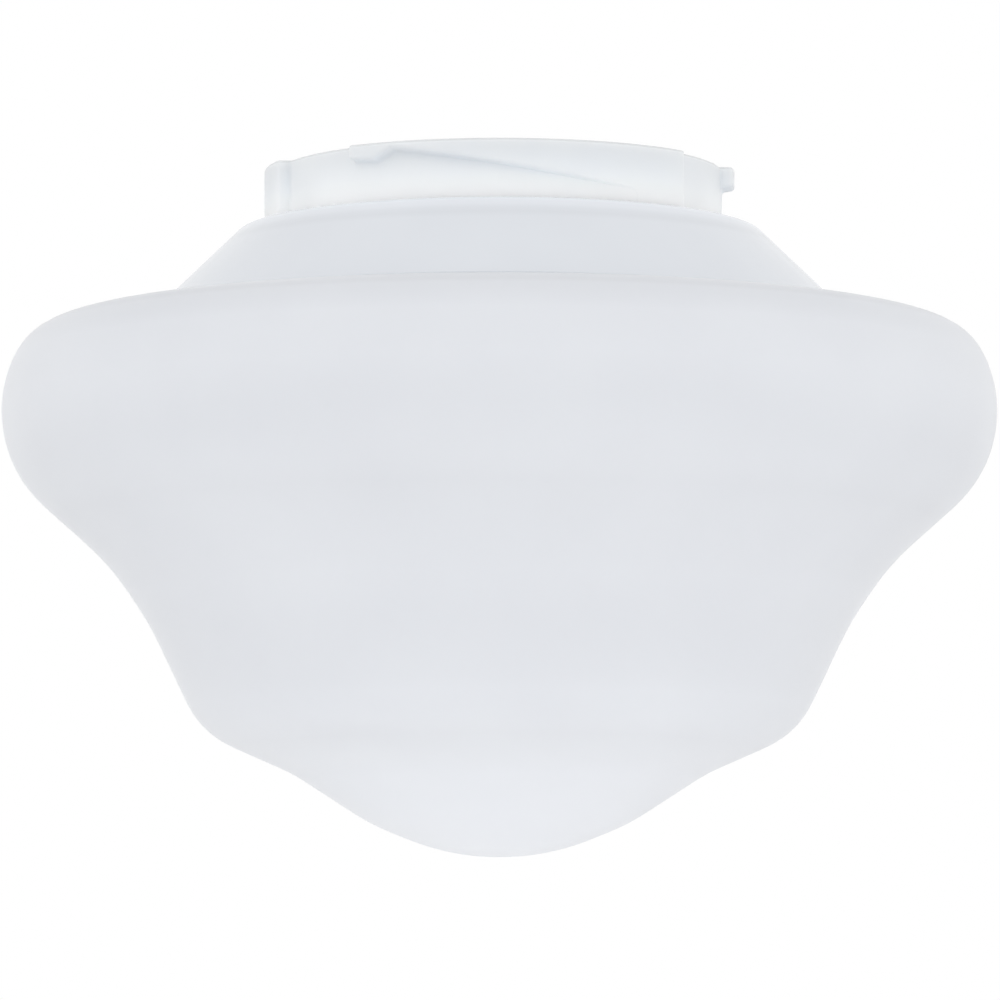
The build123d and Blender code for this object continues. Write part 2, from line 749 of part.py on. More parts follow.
def make_bulb_housing():
    """The hollow white cone between the screw base and the globe."""
    board_top = housing_bottom + bulb_spigot_height + led_board_thickness
    spigot = bulb_globe_radius - bulb_globe_wall - bulb_housing_wall
    collar_inner = bulb_base_inner_radius - bulb_thread_depth - pin_gap
    return turned(
        (collar_inner, base_bottom + bulb_housing_wall * 2),
        (collar_inner, base_bottom),
        (bulb_neck_radius, base_bottom),
        (bulb_housing_radius, housing_bottom + bulb_housing_wall),
        (bulb_housing_radius, housing_bottom),
        (spigot, housing_bottom),
        (spigot, board_top),
        (spigot - bulb_housing_wall, board_top),
        (spigot - bulb_housing_wall, board_top + bulb_housing_wall),
        (collar_inner - bulb_housing_wall, base_bottom - bulb_housing_wall),
        (collar_inner - bulb_housing_wall, base_bottom + bulb_housing_wall * 2),
    )


def make_bulb_globe():
    """The opal globe: a hollow ball cut level where it meets the housing."""
    centre = Pos(0, 0, globe_centre)
    globe = centre * Sphere(bulb_globe_radius) - centre * Sphere(bulb_globe_radius - bulb_globe_wall)
    beyond = bulb_globe_radius + overrun
    return globe - rod(beyond, globe_centre + beyond, housing_bottom)


def board_radius():
    """The light board fills the spigot of the housing."""
    return bulb_globe_radius - bulb_globe_wall - bulb_housing_wall - pin_gap


def board_bottom():
    """The board's lower face, which carries the light chips."""
    return housing_bottom + bulb_spigot_height


def make_led_board():
    """The round aluminium board in the mouth of the housing."""
    return rod(board_radius(), board_bottom() + led_board_thickness, board_bottom())


def make_led_chips():
    """The ring of light chips on the board, and one in the middle."""
    chip = block(led_size, led_size, board_bottom(), board_bottom() - led_height)
    chips = [chip]
    for i in range(led_count):
        chips.append(Rot(0, 0, 360 / led_count * i) * Pos(led_circle_radius, 0, 0) * chip)
    return Compound(children=chips)


pieces = {
    "bayonet_neck": make_neck(),
    "flared_collar": make_collar(),
    "socket_plate": make_plate(),
    "retainer_ring": make_retainer(),
    "lip_gasket": make_gasket(),
    "glass_shade": make_glass(),
    "clamp_screws": make_clamp_screws(),
    "lock_washers": make_lock_washers(),
    "socket_bracket": make_bracket(),
    "bracket_rivets": make_bracket_rivets(),
    "socket_body": make_holder(),
    "socket_screws": make_holder_screws(),
    "socket_shell": make_shell(),
    "socket_terminals": make_terminals(),
    "terminal_screws": make_terminal_screws(),
    "centre_contact": make_contact(),
    "contact_rivet": make_contact_rivet(),
    "connector_housing": make_connector(),
    "connector_pins": make_pins(),
    "hot_lead": terminal_lead(-1, -1),
    "neutral_lead": terminal_lead(1, 0),
    "ground_lead": make_ground_lead(),
    "ring_terminal": make_ring_terminal(),
    "ground_screw": make_ground_screw(),
    "bulb_base": make_bulb_base(),
    "bulb_insulator": make_bulb_insulator(),
    "bulb_tip": make_bulb_tip(),
    "bulb_housing": make_bulb_housing(),
    "bulb_globe": make_bulb_globe(),
    "led_board": make_led_board(),
    "led_chips": make_led_chips(),
}

os.makedirs("parts", exist_ok=True)
for name, piece in pieces.items():
    export_step(piece, f"parts/{name}.step")
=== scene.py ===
from math import asin, ceil, cos, degrees, exp, hypot, pi, radians, sin, tan

import bmesh
import bpy
import numpy as np
from mathutils import Matrix, Vector


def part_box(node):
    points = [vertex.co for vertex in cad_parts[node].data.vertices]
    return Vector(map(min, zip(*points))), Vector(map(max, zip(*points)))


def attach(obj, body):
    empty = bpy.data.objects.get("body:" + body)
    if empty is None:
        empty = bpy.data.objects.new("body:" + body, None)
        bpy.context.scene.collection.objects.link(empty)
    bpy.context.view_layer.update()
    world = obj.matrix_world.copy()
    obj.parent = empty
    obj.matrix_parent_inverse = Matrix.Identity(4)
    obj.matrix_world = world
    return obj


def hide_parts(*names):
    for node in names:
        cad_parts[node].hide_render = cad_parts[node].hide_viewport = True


# A twist-lock light kit from under a ceiling fan: white moulded neck, white steel collar, opal schoolhouse
# glass, and the lampholder with its bulb inside. Outlines are (radius, height) in millimetres from the
# centre of the neck's rim, and turns are in degrees from the front towards +X.
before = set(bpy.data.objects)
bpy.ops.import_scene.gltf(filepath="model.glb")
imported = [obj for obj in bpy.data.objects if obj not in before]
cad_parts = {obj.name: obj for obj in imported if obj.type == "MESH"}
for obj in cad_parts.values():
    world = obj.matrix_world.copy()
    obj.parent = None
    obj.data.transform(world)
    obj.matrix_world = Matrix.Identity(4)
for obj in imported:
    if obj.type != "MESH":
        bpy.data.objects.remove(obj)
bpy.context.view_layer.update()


# Bayonet neck: one white injection moulding, satin from the mould. Three lands stand out of it, each with a
# hook, a notch and a long ramp that ride on the fan's studs, and the recess under a ramp rises to the land
# at the ramp's end. Three bosses inside take the clamp screws that hold the whole kit together.
neck_top_round = 0.6
neck_radius = 57.0
neck_bore = 54.0
neck_foot = -15.5
neck_floor_top = -13.0
neck_hole = 44.0
neck_edge, neck_foot_edge = 0.35, 0.08
bore_foot_round, bore_rim_round, bore_rim_flat = 1.0, 0.5, 1.2
land_radius = 60.2
land_start, land_end, ramp_end = -39.0, 51.0, 34.3
hook_tip, notch = -32.0, -27.0
hook_levels = [(-3.6, -4.1), (-5.0, -5.4), (-3.6, -4.1)]
notch_level, ramp_end_level = -1.5, -11.8
land_edge_round, land_foot_round, land_draft = 1.0, 0.9, 0.2
land_corner_round, land_corner_shares, hook_corner_share = 0.9, (1.0, 1.6, 0.5, 2.0), 0.7
land_margin = 3.0
rise_start, rise_end, rise_power = -20.0, 36.0, 1.5
end_fade_start, end_fade_end, end_fade_spread = 44.0, 47.0, 1.7
third_start, third_end, third_step = -54, 66, 1.0
hook_zone_start, hook_zone_end, hook_zone_step = -36, -24, 0.3
join_fade_start, join_fade_width = 47.0, 13.0
rows_above, rows_below, row_gap = 6, 10, 0.02
boss_circle, boss_radius, boss_top = 49.5, 5.0, -5.0
boss_turns = (60.0, 180.0, 300.0)
screw_hole_radius, screw_hole_top = 2.0, -6.5
rod_edge, rod_steps, rod_overrun = 0.4, 48, 1.0
drift_low, drift_high, grain_detail = 0.32, 0.68, 4.0


def rounded(corners, bends, step):
    """The points of a line whose inner corners are bent, with a point every few degrees of each bend."""
    line = [tuple(corners[0])]
    for before, corner, after, bend in zip(corners, corners[1:], corners[2:], bends):
        corner = Vector(corner)
        back = (Vector(before) - corner).normalized()
        ahead = (Vector(after) - corner).normalized()
        half = back.angle(ahead) / 2
        if bend == 0 or half > radians(89.9):
            line.append(tuple(corner))
            continue
        centre = corner + (back + ahead).normalized() * (bend / sin(half))
        start = corner + back * (bend / tan(half)) - centre
        turn = pi - 2 * half
        steps = max(2, ceil(degrees(turn) / step))
        for i in range(steps + 1):
            angle = turn * i / steps
            line.append(tuple(centre + start * cos(angle) - back * bend * sin(angle)))
    line.append(tuple(corners[-1]))
    return line


def spaced(line, gap):
    """The same line with no run longer than the gap."""
    points = [line[0]]
    for (x0, z0), (x1, z1) in zip(line, line[1:]):
        parts = max(1, ceil(hypot(x1 - x0, z1 - z0) / gap))
        for i in range(1, parts + 1):
            points.append((x0 + (x1 - x0) * i / parts, z0 + (z1 - z0) * i / parts))
    return points


def tidied(mesh, sharp=38.0):
    """The mesh as one closed skin with its faces outward, smooth but for its sharp edges."""
    skin = bmesh.new()
    skin.from_mesh(mesh)
    bmesh.ops.remove_doubles(skin, verts=skin.verts, dist=1e-6)
    bmesh.ops.dissolve_degenerate(skin, edges=skin.edges, dist=1e-7)
    bmesh.ops.recalc_face_normals(skin, faces=skin.faces)
    skin.to_mesh(mesh)
    skin.free()
    mesh.shade_smooth()
    mesh.set_sharp_from_angle(angle=radians(sharp))
    return mesh


def mesh_of(name, points, faces):
    """A closed mesh from points in millimetres."""
    mesh = bpy.data.meshes.new(name)
    mesh.from_pydata((np.asarray(points) / 1000).tolist(), [], faces)
    return tidied(mesh)


def banded(first, rings, around, joined=False):
    """The faces between rings of points, numbered on from the first; the last ring may meet the first one."""
    faces = []
    for i in range(rings if joined else rings - 1):
        for j in range(around):
            a, b = first + i * around, first + (i + 1) % rings * around
            faces.append((a + j, a + (j + 1) % around, b + (j + 1) % around, b + j))
    return faces


def stacked(name, rings):
    """A mesh from rings of points, each joined to the next and the last to the first."""
    rings = np.asarray(rings)
    return mesh_of(name, rings.reshape(-1, 3), banded(0, *rings.shape[:2], joined=True))


def object_of(name, data):
    """A new object in the scene."""
    made = bpy.data.objects.new(name, data)
    bpy.context.scene.collection.objects.link(made)
    return made


def plain_mesh(maker, *helpers):
    """The mesh that an object's modifiers make of it, after which the object and its helpers go."""
    mesh = bpy.data.meshes.new_from_object(maker.evaluated_get(bpy.context.evaluated_depsgraph_get()))
    for obj in (maker, *helpers):
        bpy.data.objects.remove(obj)
    return mesh


def carved(mesh, tool, operation):
    """The mesh with another joined to it or cut from it."""
    body, other = object_of("body", mesh), object_of("tool", tool)
    step = body.modifiers.new("carve", "BOOLEAN")
    step.object, step.operation, step.solver = other, operation, "MANIFOLD"
    return tidied(plain_mesh(body, other))


def upright(radius, top, bottom, places):
    """One mesh of upright round rods with eased top edges, at places (x, y)."""
    points, faces = [], []
    profile = rounded([(0, top), (radius, top), (radius, bottom), (0, bottom)], [rod_edge, 0], step=22.5)
    for x, y in places:
        faces += banded(len(points), len(profile), rod_steps)
        for r, z in profile:
            for j in range(rod_steps):
                angle = 2 * pi * j / rod_steps
                points.append((x + r * cos(angle), y + r * sin(angle), z))
    return mesh_of("rods", points, faces)


def land_outline(hook_end_level, hook_tip_level):
    """The outline of one land, unrolled at the land's radius: how far round, and how high."""
    low, high = neck_foot - land_margin, land_margin
    at = [(land_start, high), (land_start, hook_end_level), (hook_tip, hook_tip_level), (notch, notch_level),
          (ramp_end, ramp_end_level), (ramp_end, low), (land_end, low), (land_end, high)]
    corners = [(land_radius * sin(radians(turn)), level) for turn, level in at]
    bends = [land_corner_round * share for share in land_corner_shares] + [0, 0]
    line = spaced(rounded(corners, bends, step=15.0), gap=1.0)
    return np.array([(land_radius * asin(x / land_radius), z) for x, z in line])


def distance_in(points, outline):
    """How far each point lies outside a closed outline, negative inside it."""
    ends = np.roll(outline, -1, axis=0)
    run = ends - outline
    offset = points[:, None] - outline[None]
    share = np.clip((offset * run).sum(2) / (run**2).sum(1), 0, 1)
    far = np.linalg.norm(offset - share[..., None] * run, axis=2).min(1)
    crosses = (outline[:, 1] > points[:, None, 1]) != (ends[:, 1] > points[:, None, 1])
    climb = np.where(run[:, 1] == 0, 1, run[:, 1])
    reach = outline[:, 0] + offset[..., 1] * run[:, 0] / climb
    inside = (crosses & (points[:, None, 0] < reach)).sum(1) % 2 == 1
    return np.where(inside, -far, far)


def land_height(far):
    """How much of its step the land keeps at a distance outside its outline."""
    step = land_radius - neck_radius
    over = np.clip((far + land_edge_round) / land_edge_round, 0, 1)
    drop = land_edge_round * (1 - np.sqrt(1 - over**2))
    wall = np.clip(far / land_draft, 0, 1) * (step - land_edge_round - land_foot_round)
    under = np.clip((far - land_draft) / land_foot_round, 0, 1)
    return step - drop - wall - land_foot_round * np.sqrt(1 - (1 - under) ** 2)


def neck_third(number, hook_end_level, hook_tip_level):
    """A third of the neck in rings, from its rim down the outside, in through its floor and up its bore."""
    outline = land_outline(hook_end_level, hook_tip_level)
    quarter = np.radians(np.arange(0, 91, 15))
    edge_steps = land_edge_round * (np.sin(quarter) - 1)
    foot_steps = land_draft + land_foot_round * (1 - np.cos(quarter))
    across = np.concatenate([edge_steps, foot_steps])
    around = np.degrees(across / land_radius)
    turns = np.concatenate([np.arange(third_start, third_end, third_step),
                            np.arange(hook_zone_start, hook_zone_end, hook_zone_step),
                            land_start - around, ramp_end - around, land_end + around])
    turns = np.unique(np.round(turns, 2))

    # The rows follow the land's lower edge, and level out where one third meets the next.
    first = np.argmax(outline[:, 1] < hook_end_level + hook_corner_share * land_corner_round)
    last = np.argmax(outline[:, 1] <= ramp_end_level)
    lower = outline[first:last + 1]
    edge = np.interp(turns, np.degrees(lower[:, 0] / land_radius), lower[:, 1])
    middle = (edge[0] + edge[-1]) / 2
    fade = np.clip((np.abs(turns - (third_start + third_end) / 2) - join_fade_start) / join_fade_width, 0, 1)
    edge = edge + (middle - edge) * fade**2 * (3 - 2 * fade)
    rim = neck_top_round * (np.cos(quarter) - 1)
    foot = neck_foot + neck_foot_edge * (1 - np.cos(np.radians(np.arange(90, -1, -30))))
    columns = []
    for level in edge:
        near = np.minimum(level - across, rim[-1] - row_gap * np.arange(1, len(across) + 1))
        upper = np.linspace(rim[-1], near[0], rows_above)[1:-1]
        below = np.linspace(near[-1], foot[0], rows_below)[1:-1]
        columns.append(np.concatenate([rim, upper, near, below, foot]))
    levels = np.array(columns).T

    # The land stands out by how far each point lies from its outline, over the rising recess.
    flat = np.stack([np.broadcast_to(np.radians(turns) * land_radius, levels.shape), levels], axis=-1)
    far = distance_in(flat.reshape(-1, 2), outline).reshape(levels.shape)
    ending = np.clip((turns - end_fade_start) / (end_fade_end - end_fade_start), 0, 1)
    far /= 1 + (end_fade_spread - 1) * ending
    rise = np.clip((turns - rise_start) / (rise_end - rise_start), 0, 1)
    rise = (land_radius - neck_radius) * np.where(turns < end_fade_start, rise, 0) ** rise_power
    radius = neck_radius + np.maximum(land_height(far), rise)
    over = np.clip(levels + neck_top_round, 0, neck_top_round)
    radius -= neck_top_round - np.sqrt(neck_top_round**2 - over**2)
    under = np.clip(neck_foot + neck_foot_edge - levels, 0, neck_foot_edge)
    radius -= neck_foot_edge - np.sqrt(neck_foot_edge**2 - under**2)

    inner = [(neck_radius - 2 * neck_edge, neck_foot), (neck_hole, neck_foot), (neck_hole, neck_floor_top),
             (neck_bore, neck_floor_top), (neck_bore, 0.0), (neck_bore + bore_rim_flat, 0.0)]
    inner = rounded(inner, [neck_edge, neck_edge, bore_foot_round, bore_rim_round], step=18.0)
    for r, z in spaced(inner, gap=4.0):
        radius = np.vstack([radius, np.full(len(turns), r)])
        levels = np.vstack([levels, np.full(len(turns), z)])
    place = np.radians(turns + 120 * number)
    return np.stack([radius * np.sin(place), -radius * np.cos(place), levels], axis=-1)


def made_of(name, tones, gloss, patch, grain, lift, **sockets):
    """A material whose tone drifts over patches, under a fine grain that roughens and lifts the surface."""
    material = bpy.data.materials.new(name)
    material.use_nodes = True
    nodes, links = material.node_tree.nodes, material.node_tree.links
    shader = nodes["Principled BSDF"]
    for socket, value in sockets.items():
        shader.inputs[socket.replace("_", " ")].default_value = value
    place = nodes.new("ShaderNodeTexCoord").outputs["Object"]
    drift, fine = nodes.new("ShaderNodeTexNoise"), nodes.new("ShaderNodeTexNoise")
    for texture, size in ((drift, patch), (fine, grain)):
        texture.inputs["Scale"].default_value = 1 / size
        links.new(place, texture.inputs["Vector"])
    fine.inputs["Detail"].default_value = grain_detail
    spread = nodes.new("ShaderNodeMapRange")
    spread.inputs["From Min"].default_value, spread.inputs["From Max"].default_value = drift_low, drift_high
    links.new(drift.outputs[0], spread.inputs["Value"])
    tone = nodes.new("ShaderNodeMix")
    tone.data_type = "RGBA"
    tone.inputs["A"].default_value, tone.inputs["B"].default_value = (*tones[0], 1), (*tones[1], 1)
    links.new(spread.outputs["Result"], tone.inputs["Factor"])
    links.new(tone.outputs[2], shader.inputs["Base Color"])
    rough = nodes.new("ShaderNodeMapRange")
    rough.inputs["To Min"].default_value, rough.inputs["To Max"].default_value = gloss
    links.new(fine.outputs[0], rough.inputs["Value"])
    links.new(rough.outputs["Result"], shader.inputs["Roughness"])
    bump = nodes.new("ShaderNodeBump")
    bump.inputs["Distance"].default_value = lift
    links.new(fine.outputs[0], bump.inputs["Height"])
    links.new(bump.outputs["Normal"], shader.inputs["Normal"])
    return material


def ramped(tree, value, stops):
    """A grey that follows a value through a few stops."""
    ramp = tree.nodes.new("ShaderNodeValToRGB")
    elements = ramp.color_ramp.elements
    while len(elements) < len(stops):
        elements.new(0.5)
    for element, (place, tone) in zip(elements, stops):
        element.position, element.color = place, (tone, tone, tone, 1)
    tree.links.new(value, ramp.inputs["Fac"])
    return ramp.outputs["Color"]


def painted_shading_by_height(material, stops):
    """Light and shade painted into the material's colour, which rises or falls with height: stops are
    (millimetres, share), from the lowest up.
    """
    nodes, links = material.node_tree.nodes, material.node_tree.links
    shader = nodes["Principled BSDF"]
    height = nodes.new("ShaderNodeSeparateXYZ")
    links.new(nodes["Texture Coordinate"].outputs["Object"], height.inputs["Vector"])
    low, high = stops[0][0], stops[-1][0]
    span = nodes.new("ShaderNodeMapRange")
    span.inputs["From Min"].default_value, span.inputs["From Max"].default_value = low / 1000, high / 1000
    links.new(height.outputs["Z"], span.inputs["Value"])
    # The painted light and shade multiplies the base colour.
    painted_shading = nodes.new("ShaderNodeMix")
    painted_shading.data_type, painted_shading.blend_type = "RGBA", "MULTIPLY"
    painted_shading.inputs["Factor"].default_value = 1.0
    links.new(shader.inputs["Base Color"].links[0].from_socket, painted_shading.inputs["A"])
    shares = [((level - low) / (high - low), share) for level, share in stops]
    links.new(ramped(material.node_tree, span.outputs["Result"], shares), painted_shading.inputs["B"])
    links.new(painted_shading.outputs[2], shader.inputs["Base Color"])


def fitted(name, mesh, material, body, node):
    """The finished piece: it rides on its body and stands for its CAD node."""
    piece = object_of(name, mesh)
    mesh.materials.clear()
    mesh.materials.append(material)
    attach(piece, body)
    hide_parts(node)


white_moulding = made_of("white moulding", [(0.935, 0.96, 0.985), (0.945, 0.97, 0.99)], (0.36, 0.46), 0.012,
                         0.0006, 0.00002, Subsurface_Weight=1.0, Subsurface_Scale=0.0045,
                         Subsurface_Radius=(1, 1, 1))
# Painted shade: the neck darkens upwards from its foot, and most steeply in its top 0.7 mm, painting a dark
# line along the rim.
painted_shading_by_height(white_moulding, [(-16, 1.0), (-9, 0.94), (-0.7, 0.815), (-0.45, 0.69), (0, 0.60)])
bosses = [(boss_circle * sin(radians(turn)), -boss_circle * cos(radians(turn))) for turn in boss_turns]
thirds = [neck_third(number, *levels) for number, levels in enumerate(hook_levels)]
neck_mesh = stacked("neck", np.concatenate(thirds, axis=1))
boss_rods = upright(boss_radius, boss_top, neck_floor_top - rod_overrun, bosses)
neck_mesh = carved(neck_mesh, boss_rods, "UNION")
screw_holes = upright(screw_hole_radius, screw_hole_top, neck_foot - rod_overrun, bosses)
neck_mesh = carved(neck_mesh, screw_holes, "DIFFERENCE")
fitted("neck_moulding", neck_mesh, white_moulding, "kit", "bayonet_neck")


# Flared collar: a pan drawn from 1.2 mm steel sheet and painted satin white. It is clamped by its flat
# under the neck, and its flare runs out just above the shelf of the glass and hides the glass's lip.
collar_wall = 1.2
collar_corners = [(neck_hole, neck_foot), (66.3, neck_foot), (88.6, -37.2)]
collar_bend = 3.5
collar_edge = 0.4
collar_steps = 384
collar_hole_gap, collar_hole_top, collar_hole_foot = 0.05, -14.0, -18.0


def value_of(tree, operation, first, second=0.0):
    """The result of one sum on two sockets or numbers."""
    node = tree.nodes.new("ShaderNodeMath")
    node.operation = operation
    for socket, value in zip(node.inputs, (first, second)):
        if isinstance(value, (int, float)):
            socket.default_value = value
        else:
            tree.links.new(value, socket)
    return node.outputs["Value"]


def new_tree(name, inputs):
    """A Geometry Nodes tree with named inputs and a finish, and the outputs of its group input."""
    tree = bpy.data.node_groups.new(name, "GeometryNodeTree")
    for label, kind in (*inputs, ("Finish", "Material")):
        tree.interface.new_socket(label, in_out="INPUT", socket_type="NodeSocket" + kind)
    tree.interface.new_socket("Piece", in_out="OUTPUT", socket_type="NodeSocketGeometry")
    return tree, tree.nodes.new("NodeGroupInput").outputs


def ended(tree, geometry, given):
    """The tree, ended by making its instances real and giving them their finish."""
    nodes, links = tree.nodes, tree.links
    real = nodes.new("GeometryNodeRealizeInstances")
    links.new(geometry, real.inputs["Geometry"])
    finish = nodes.new("GeometryNodeSetMaterial")
    links.new(real.outputs["Geometry"], finish.inputs["Geometry"])
    links.new(given["Finish"], finish.inputs["Material"])
    links.new(finish.outputs["Geometry"], nodes.new("NodeGroupOutput").inputs["Piece"])
    return tree


def turned_tree():
    """Geometry Nodes that turn the object's own points, an outline in order, once round the axis."""
    tree, given = new_tree("turned on the axis", [("Outline", "Geometry"), ("Steps round", "Int")])
    nodes, links = tree.nodes, tree.links
    size = nodes.new("GeometryNodeAttributeDomainSize")
    links.new(given["Outline"], size.inputs["Geometry"])
    grid = nodes.new("GeometryNodeMeshGrid")
    last = value_of(tree, "SUBTRACT", size.outputs["Point Count"], 1)
    links.new(last, grid.inputs["Size X"])
    links.new(size.outputs["Point Count"], grid.inputs["Vertices X"])
    links.new(value_of(tree, "ADD", given["Steps round"], 1), grid.inputs["Vertices Y"])
    where = nodes.new("ShaderNodeSeparateXYZ")
    links.new(nodes.new("GeometryNodeInputPosition").outputs["Position"], where.inputs["Vector"])
    along = value_of(tree, "ADD", where.outputs["X"], value_of(tree, "MULTIPLY", last, 0.5))
    sample = nodes.new("GeometryNodeSampleIndex")
    sample.data_type = "FLOAT_VECTOR"
    links.new(given["Outline"], sample.inputs["Geometry"])
    links.new(nodes.new("GeometryNodeInputPosition").outputs["Position"], sample.inputs["Value"])
    links.new(value_of(tree, "ROUND", along), sample.inputs["Index"])
    point = nodes.new("ShaderNodeSeparateXYZ")
    links.new(sample.outputs["Value"], point.inputs["Vector"])
    turn = value_of(tree, "MULTIPLY", where.outputs["Y"], 2 * pi)
    place = nodes.new("ShaderNodeCombineXYZ")
    for side, operation in (("X", "COSINE"), ("Y", "SINE")):
        share = value_of(tree, operation, turn)
        links.new(value_of(tree, "MULTIPLY", point.outputs["X"], share), place.inputs[side])
    links.new(point.outputs["Z"], place.inputs["Z"])
    moved = nodes.new("GeometryNodeSetPosition")
    links.new(grid.outputs["Mesh"], moved.inputs["Geometry"])
    links.new(place.outputs["Vector"], moved.inputs["Position"])
    merged = nodes.new("GeometryNodeMergeByDistance")
    merged.inputs["Distance"].default_value = 1e-6
    links.new(moved.outputs["Geometry"], merged.inputs["Geometry"])
    return ended(tree, merged.outputs["Geometry"], given)


turned = turned_tree()


def through(tree, mesh, settings):
    """The plain mesh that a tree makes of a mesh, with the tree's inputs set by name."""
    holder = object_of("holder", mesh)
    step = holder.modifiers.new("nodes", "NODES")
    step.node_group = tree
    for item in tree.interface.items_tree:
        if item.in_out == "INPUT" and item.name in settings:
            step[item.identifier] = settings[item.name]
    holder.update_tag()
    return tidied(plain_mesh(holder))


def turned_mesh(line, material, steps):
    """A mesh turned from an outline in millimetres."""
    mesh = bpy.data.meshes.new("outline")
    mesh.from_pydata([(r / 1000, 0, z / 1000) for r, z in line], [], [])
    return through(turned, mesh, {"Steps round": steps, "Finish": material})


def inset(corners, wall):
    """The corners of the line that lies one wall to the right of a line."""
    heads = [(Vector(b) - Vector(a)).normalized() for a, b in zip(corners, corners[1:])]
    moved = [Vector(corners[0]) + wall * Vector((heads[0].y, -heads[0].x))]
    for corner, head, following in zip(corners[1:], heads, heads[1:]):
        reach = wall * tan(asin(head.x * following.y - head.y * following.x) / 2)
        moved.append(Vector(corner) + wall * Vector((head.y, -head.x)) + reach * head)
    moved.append(Vector(corners[-1]) + wall * Vector((heads[-1].y, -heads[-1].x)))
    return [tuple(point) for point in moved]


def closed(corners, bends, step):
    """A closed outline whose corners are all bent, starting halfway along its last run."""
    start = tuple((Vector(corners[0]) + Vector(corners[-1])) / 2)
    return rounded([start, *corners, start], bends, step)


white_paint = made_of("white paint", [(0.712, 0.738, 0.780), (0.727, 0.753, 0.795)], (0.16, 0.24), 0.03,
                      0.0016, 0.000012, Specular_IOR_Level=0.5)
# Painted light and shade: a painted highlight along the collar's flat and the top of its bend, and a faint
# painted shade line below it on the flare.
painted_shading_by_height(white_paint, [(-37.2, 1.0), (-21.2, 1.0), (-19.8, 0.96), (-18.7, 0.985), (-17.6, 1.05),
                              (-15.6, 1.11), (-15.5, 1.26)])
collar_bends = [collar_edge, collar_bend, collar_edge, collar_edge, collar_bend - collar_wall, collar_edge]
collar_line = closed(collar_corners + inset(collar_corners, collar_wall)[::-1], collar_bends, step=9.0)
collar_mesh = turned_mesh(spaced(collar_line, gap=3.0), white_paint, collar_steps)
collar_holes = upright(screw_hole_radius + collar_hole_gap, collar_hole_top, collar_hole_foot, bosses)
collar_mesh = carved(collar_mesh, collar_holes, "DIFFERENCE")
fitted("collar_pan", collar_mesh, white_paint, "kit", "flared_collar")


# Schoolhouse glass: opal white, blown in a mould to a soft satin, 3.2 mm thick. A wide shelf with a faint
# groove round its edge, a full body, a waist and a stepped, rounded foot. Its lip has three gaps that pass
# the retainer's tabs, and it turns 34 degrees onto them until three low nubs stop it.
glass_radius = 127.0
glass_depth = 137.35
glass_wall = 3.2
glass_neck = 68.5
glass_lip = 73.2
lip_top, lip_under, glass_foot = -31.05, -34.85, -38.15
lip_bends, lip_join = [1.0, 1.2, 1.2, 0.8, 1.2], 3
glass_shares = [(0.942, 0.018), (1.008, 0.136), (0.984, 0.292), (0.784, 0.456), (0.702, 0.568),
                (0.598, 0.770), (0.417, 0.844), (0.260, 0.938), (0.098, 1.000)]
glass_bends = [14.0, 31.0, 31.0, 65.0, 65.0, 21.6, 19.9, 45.0, 61.0]
hollow_corners = (4, 6)
glass_soften = 2.0
glass_gap = 1.3
glass_steps = 256
groove_level, groove_width, groove_depth = -42.3, 0.4, 0.12
groove_zone, groove_rows = 1.8, 4
lip_gap_turns, lip_gap_width = (34.0, 154.0, 274.0), 36.0
lip_gap_box = (glass_neck + 0.02, glass_lip + 2.0, lip_top + 1.0, lip_under - 0.5)
nub_turns, nub_width, nub_drop, nub_steps = (-16.6, 103.4, 223.4), 3.0, 1.2, 4
nub_box = (glass_neck - 1.0, glass_lip - 0.8, lip_under + 0.4, lip_under - nub_drop)


def softened(line, gap, soft):
    """An even line whose bends flow into each other; its last point lies on the axis."""
    points = np.array(line)
    run = np.concatenate([[0], np.cumsum(np.linalg.norm(np.diff(points, axis=0), axis=1))])
    at = np.linspace(0, run[-1], ceil(run[-1] / gap))
    even = np.stack([np.interp(at, run, points[:, 0]), np.interp(at, run, points[:, 1])], axis=1)
    reach = ceil(4 * soft / gap)
    before = even[0] - (even[1:reach + 1] - even[0])[::-1]
    after = even[-reach - 1:-1][::-1] * (-1, 1)
    padded = np.vstack([before, even, after])
    weights = np.exp(-0.5 * (np.arange(-reach, reach + 1) * gap / soft) ** 2)
    weights /= weights.sum()
    smooth = np.stack([np.convolve(padded[:, k], weights, "valid") for k in (0, 1)], axis=1)
    smooth[-1, 0] = 0.0
    return [tuple(point) for point in smooth]


def sectors(box, turns, width, steps=24):
    """One mesh of parts of a ring, each about a turn; the box is (inner, outer, top, bottom)."""
    inner, outer, top, bottom = box
    points, faces = [], []
    for turn in turns:
        first = len(points)
        for i in range(steps + 1):
            angle = radians(turn - width / 2 + width * i / steps)
            for r, z in ((inner, top), (outer, top), (outer, bottom), (inner, bottom)):
                points.append((r * sin(angle), -r * cos(angle), z))
        faces += banded(first, steps + 1, 4)
        faces += [tuple(first + k for k in range(4)), tuple(first + 4 * steps + k for k in (3, 2, 1, 0))]
    return mesh_of("sectors", points, faces)


opal_glass = made_of("opal glass", [(0.786, 0.805, 0.846), (0.806, 0.826, 0.866)], (0.30, 0.38), 0.05, 0.018,
                     0.000012, Specular_IOR_Level=0.35, Subsurface_Weight=0.5, Subsurface_Scale=0.004,
                     Subsurface_Radius=(1, 1, 1))
